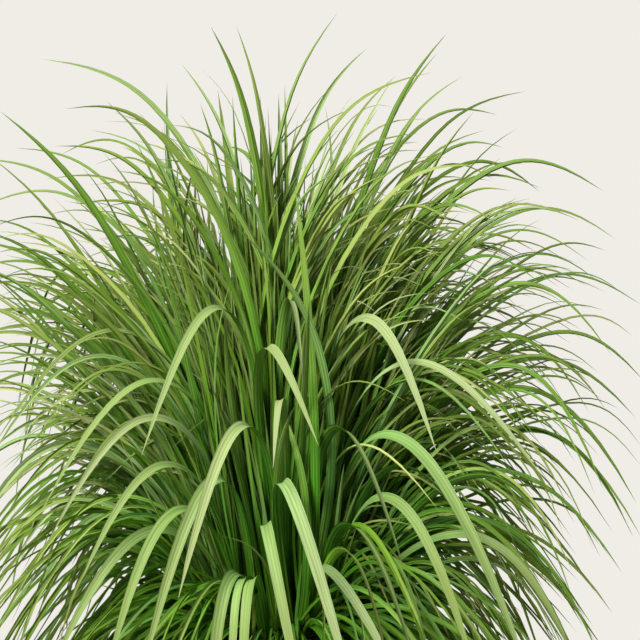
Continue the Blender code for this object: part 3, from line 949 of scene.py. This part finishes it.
tuftCount = sum(1 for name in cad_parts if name.startswith("tuft_"))
tufts = [readTuft(f"tuft_{number + 1:02d}") for number in range(tuftCount)]
shares = shareSmallLeaves([foot for foot, _ in tufts])
heroes = gatherHeroes(tufts)
leafCount = 0
for number, ((foot, leaves), small) in enumerate(zip(tufts, shares), 1):
    leafCount += addTuft(number, foot, leaves, small)
print("grown", leafCount, "leaves in", tuftCount, "tufts")


# turned and grained pieces: the pot and its soil

grainShape = {
    # each mask with its size, the noise's detail, and from which value to which it grows
    "masks": (("Speckle", "Fine", 3.0, (0.36, 0.64)), ("Cloud", "Broad", 5.0, (0.30, 0.70))),
    "roughness": 0.6,
    "shine": 0.3,
    "bumpHeight": 0.0005,
    "speckleShare": 0.5,
}


def makeGrainGroup(shape):
    # speckles and soft clouds, by the piece's own coordinates
    inputs = (("Fine", 900.0), ("Broad", 14.0))
    group, entry, leave = newGroup("grain", inputs, ("Speckle", "Cloud", "Height"))
    place = addNode(group, "TexCoord").outputs["Object"]
    for mask, size, detail, limits in shape["masks"]:
        noise = addNode(group, "TexNoise", Detail=detail, Roughness=shape["roughness"])
        feed(group, noise.inputs["Vector"], place)
        feed(group, noise.inputs["Scale"], entry.outputs[size])
        stops = ((limits[0], 0.0), (limits[1], 1.0))
        feed(group, leave.inputs[mask], greyRamp(group, noise.outputs["Fac"], stops))
        if size == "Fine":
            feed(group, leave.inputs["Height"], noise.outputs["Fac"])
    return group


grainGroup = makeGrainGroup(grainShape)

potLook = {
    "dark": (0.300, 0.275, 0.240), "light": (0.470, 0.440, 0.395),
    "grain": (700.0, 16.0),  # how fine the speckles and the clouds are
    "fleck": (0.170, 0.150, 0.125), "flecks": ((0.0, 0.55), (0.22, 0.0)), "dust": (0.560, 0.530, 0.470),
    "dustShare": 0.5, "dustHeight": 0.030, "roughness": (0.74, 0.87), "bump": 0.35,
}
soilLook = {
    "dark": (0.020, 0.013, 0.008), "light": (0.085, 0.055, 0.034), "grain": (1500.0, 160.0),
    "roughness": (0.87, 1.0), "bump": 0.8,
}
barkLook = {
    "dark": (0.075, 0.040, 0.020), "light": (0.210, 0.125, 0.065), "grain": (900.0, 220.0),
    "roughness": (0.77, 0.90), "bump": 0.6,
}


def makeGrainMaterial(name, look):
    material = bpy.data.materials.new(name)
    tree = newTree(material)
    fine, broad = look["grain"]
    speckles, cloud, height = placeGroup(tree, grainGroup, Fine=fine, Broad=broad).outputs
    colour = mixColours(tree, cloud, look["dark"], look["light"])
    if "fleck" in look:
        colour = mixColours(tree, greyRamp(tree, speckles, look["flecks"]), colour, look["fleck"])
        # a little dust near the foot
        place = addNode(tree, "SeparateXYZ")
        feed(tree, place.inputs[0], addNode(tree, "TexCoord").outputs["Object"])
        low = mathNode(tree, "DIVIDE", place.outputs[2], look["dustHeight"])
        dust = greyRamp(tree, low, ((0.0, look["dustShare"]), (1.0, 0.0)))
        colour = mixColours(tree, mathNode(tree, "MULTIPLY", dust, cloud), colour, look["dust"])
    else:
        speckle = mathNode(tree, "MULTIPLY", speckles, grainShape["speckleShare"])
        colour = mixColours(tree, speckle, colour, look["light"])
    shader = addNode(tree, "BsdfPrincipled")
    shader.inputs["Specular IOR Level"].default_value = grainShape["shine"]
    feed(tree, shader.inputs["Base Color"], colour)
    smooth, rough = look["roughness"]
    feed(tree, shader.inputs["Roughness"], greyRamp(tree, speckles, ((0.0, smooth), (1.0, rough))))
    addBump(tree, shader, height, look["bump"], grainShape["bumpHeight"])
    showSurface(tree, shader.outputs[0])
    return material


potShape = {
    "footRadius": 0.112, "wall": 0.012, "floor": 0.016, "rimHeight": 0.028, "rimStep": 0.005,
    "round": 0.0032, "roundSteps": 5, "sharpAngle": 40, "sides": 160,
}


def roundedProfile(profile, reach, steps):
    # corners become short curves, no longer than a third of the sides that meet there
    points = [np.array(profile[0])]
    for before, corner, after in zip(profile, profile[1:], profile[2:]):
        before, corner, after = (np.array(point) for point in (before, corner, after))
        back, ahead = before - corner, after - corner
        one = corner + unit(back) * min(reach, norm(back) / 3)
        two = corner + unit(ahead) * min(reach, norm(ahead) / 3)
        for step in range(steps + 1):
            points.append(arc(one, corner, two, step / steps))
    points.append(np.array(profile[-1]))
    return points


def ringOf(radius, height, sides):
    return [polar(radius, tau * side / sides, height) for side in range(sides)]


def turnedFaces(rings, sides, end=None):
    # faces round the first point, from ring to ring, and round an end point
    faces = []
    for side in range(sides):
        after = (side + 1) % sides
        faces.append((0, 1 + after, 1 + side))
        for low in range(1, 1 + (rings - 1) * sides, sides):
            high = low + sides
            faces.append((low + side, low + after, high + after, high + side))
        if end:
            faces.append((end - sides + side, end - sides + after, end))
    return faces


def addTurned(name, profile, material, shape):
    # a closed form turned round the upright axis from (radius, height) points whose ends are on it
    points, sides = [(0.0, 0.0, profile[0][1])], shape["sides"]
    for radius, height in profile[1:-1]:
        points.extend(ringOf(radius, height, sides))
    faces = turnedFaces(len(profile) - 2, sides, len(points))
    points.append((0.0, 0.0, profile[-1][1]))
    return addMesh(name, points, faces, material, shape["sharpAngle"])


def addPot():
    shape = potShape
    band = potTop - shape["rimHeight"]
    under = potRadius - shape["rimStep"]

    def wallRadius(height):
        return shape["footRadius"] + (under - shape["footRadius"]) * height / potTop

    profile = [
        (0.0, 0.0),
        (shape["footRadius"], 0.0),
        (wallRadius(band), band),
        (potRadius, band + shape["rimStep"]),
        (potRadius, potTop),
        (wallRadius(potTop) - shape["wall"], potTop),
        (wallRadius(shape["floor"]) - shape["wall"], shape["floor"]),
        (0.0, shape["floor"]),
    ]
    outline = roundedProfile(profile, shape["round"], shape["roundSteps"])
    pot = addTurned("pot_dressed", outline, makeGrainMaterial("matt stoneware", potLook), shape)
    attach(pot, "root")
    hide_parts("pot")


soilShape = {
    "edgeDrop": 0.006, "edgeRoom": 0.003, "footRoom": 0.001, "depth": 0.020, "rings": 60, "sides": 120,
    "bump": 0.0022, "sharpAngle": 60,
}
# loose bits on it: how many, their least and greatest radius, and how flat they are
crumbs = {"count": 1500, "size": (0.0009, 0.0034), "flat": 0.75}
barkChips = {"count": 90, "size": (0.004, 0.009), "flat": 0.22}
lumpShape = {
    "rough": 0.22,
    "narrow": (0.5, 0.9),
    "raised": 0.4,  # how much of its height a lump's middle is over the soil
    "lean": 0.35,
    "sharpAngle": 35,
}


def soilHeight(x, y):
    # gently hilly in waves of three widths, in radians per metre, and lower toward the pot's wall
    bump, edgeDrop = soilShape["bump"], soilShape["edgeDrop"]
    slope = max(0.0, (hypot(x, y) - crownRoom) / (soilRadius - crownRoom))
    broad = sin(x * 190 + 1.3) * cos(y * 170)
    hills = broad + 0.6 * sin(x * 420 - y * 380) + 0.4 * cos(y * 770)
    return soilTop - bump - edgeDrop * slope + bump * 0.5 * hills


def addLump(points, faces, centre, sizes, spin):
    # a rough stone-like lump of twenty faces whose corners are pushed in and out
    form = bmesh.new()
    bmesh.ops.create_icosphere(form, subdivisions=1, radius=1.0)
    first, rough = len(points), lumpShape["rough"]
    for vert in form.verts:
        place = vert.co * (1.0 + rng.uniform(-rough, rough))
        place = spin @ Vector((place.x * sizes[0], place.y * sizes[1], place.z * sizes[2]))
        points.append(tuple(place + centre))
    for face in form.faces:
        faces.append(tuple(first + vert.index for vert in face.verts))
    form.free()


def addLumps(name, bits, material):
    points, faces = [], []
    flat, leanMost = bits["flat"], lumpShape["lean"]
    for _ in range(bits["count"]):
        size = rng.uniform(*bits["size"])
        out = (soilRadius - soilShape["edgeRoom"] - size) * sqrt(rng.random())
        x, y, _ = polar(out, rng.uniform(0, tau), 0.0)
        centre = Vector((x, y, soilHeight(x, y) + size * flat * lumpShape["raised"]))
        lean = Euler((rng.gauss(0, leanMost), rng.gauss(0, leanMost), rng.uniform(0, tau)))
        sizes = (size, size * rng.uniform(*lumpShape["narrow"]), size * flat)
        addLump(points, faces, centre, sizes, lean.to_matrix())
    piece = addMesh(name, points, faces, material, lumpShape["sharpAngle"])
    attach(piece, "root")


def addSoil():
    shape = soilShape
    low = soilTop - shape["depth"]
    profile = [(0.0, low), (soilRadius - shape["footRoom"], low)]
    for ring in range(shape["rings"]):
        profile.append((soilRadius * (1 - ring / shape["rings"]), soilTop))
    profile.append((0.0, soilTop))
    compost = makeGrainMaterial("compost", soilLook)
    soil = addTurned("soil_bed", profile, compost, shape)
    for vert in soil.data.vertices:
        if vert.co.z > soilTop - shape["depth"] / 2:
            vert.co.z = soilHeight(vert.co.x, vert.co.y)
    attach(soil, "root")
    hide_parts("soil")
    addLumps("soil_crumbs", crumbs, compost)
    addLumps("soil_bark", barkChips, makeGrainMaterial("bark chips", barkLook))


addPot()
addSoil()
print("pot and soil dressed")


# picture: wall colour, floor, lamps and camera

floorLook = {
    "colour": (0.45, 0.437, 0.405), "fadeFrom": 0.22, "fadeTo": 0.90, "roughness": 0.9, "rings": 24,
    "sides": 96, "sharpAngle": 30,
}
lamps = {
    "key": {"place": (-1.3, -1.9, 2.6), "size": 1.4, "power": 265, "colour": (1.0, 0.985, 0.95)},
    "back": {"place": (1.4, 2.2, 2.2), "size": 1.8, "power": 80, "colour": (1.0, 0.99, 0.96)},
}
lampTarget = (0.0, 0.0, 0.5)


def addFloor(look):
    # a pale disc that fades out before it could show in the photograph's view
    sides, rings = look["sides"], look["rings"]
    points = [(0.0, 0.0, 0.0)]
    for ring in range(1, rings + 1):
        points.extend(ringOf(look["fadeTo"] * ring / rings, 0.0, sides))
    faces = [(face[0], *reversed(face[1:])) for face in turnedFaces(rings, sides)]
    material = bpy.data.materials.new("pale floor")
    tree = newTree(material)
    length = addNode(tree, "VectorMath", operation="LENGTH")
    feed(tree, length.inputs[0], addNode(tree, "TexCoord").outputs["Object"])
    middle = (look["fadeFrom"] + look["fadeTo"]) / 2
    fade = ((look["fadeFrom"], 1.0), (middle, 0.5), (look["fadeTo"], 0.0))
    shader = addNode(tree, "BsdfPrincipled", Roughness=look["roughness"])
    feed(tree, shader.inputs["Base Color"], look["colour"])
    feed(tree, shader.inputs["Alpha"], greyRamp(tree, length.outputs["Value"], fade))
    showSurface(tree, shader.outputs[0])
    addMesh("floor", points, faces, material, look["sharpAngle"])


def setWorld(settings):
    world = bpy.data.worlds.new("studio")
    scene.world = world
    tree = newTree(world)
    colour = (*settings["wallColour"], 1.0)
    seen = addNode(tree, "Background", Color=colour, Strength=1.0)
    lights = addNode(tree, "Background", Color=colour, Strength=settings["wallLight"])
    isSeen = addNode(tree, "LightPath").outputs["Is Camera Ray"]
    showSurface(tree, mixShaders(tree, isSeen, lights, seen), "OutputWorld")


def addLamp(name, settings):
    lamp = bpy.data.lights.new(name, "AREA")
    lamp.shape = "DISK"
    lamp.size = settings["size"]
    lamp.energy = settings["power"]
    lamp.color = settings["colour"]
    thing = addObject(name, lamp)
    thing.location = settings["place"]
    way = Vector(lampTarget) - Vector(settings["place"])
    thing.rotation_euler = way.to_track_quat("-Z", "Y").to_euler()


def addCamera(settings):
    camera = bpy.data.cameras.new("photograph view")
    camera.lens = settings["lens"]
    thing = addObject("photograph view", camera)
    thing.location = eye
    thing.rotation_euler = (pi / 2 - settings["pitch"], 0.0, 0.0)
    scene.camera = thing


addFloor(floorLook)
setWorld(picture)
for name, settings in lamps.items():
    addLamp(name, settings)
addCamera(picture)
scene.view_settings.view_transform = "Standard"
scene.cycles.use_denoising = True
scene.cycles.diffuse_bounces = 6
print("picture set")
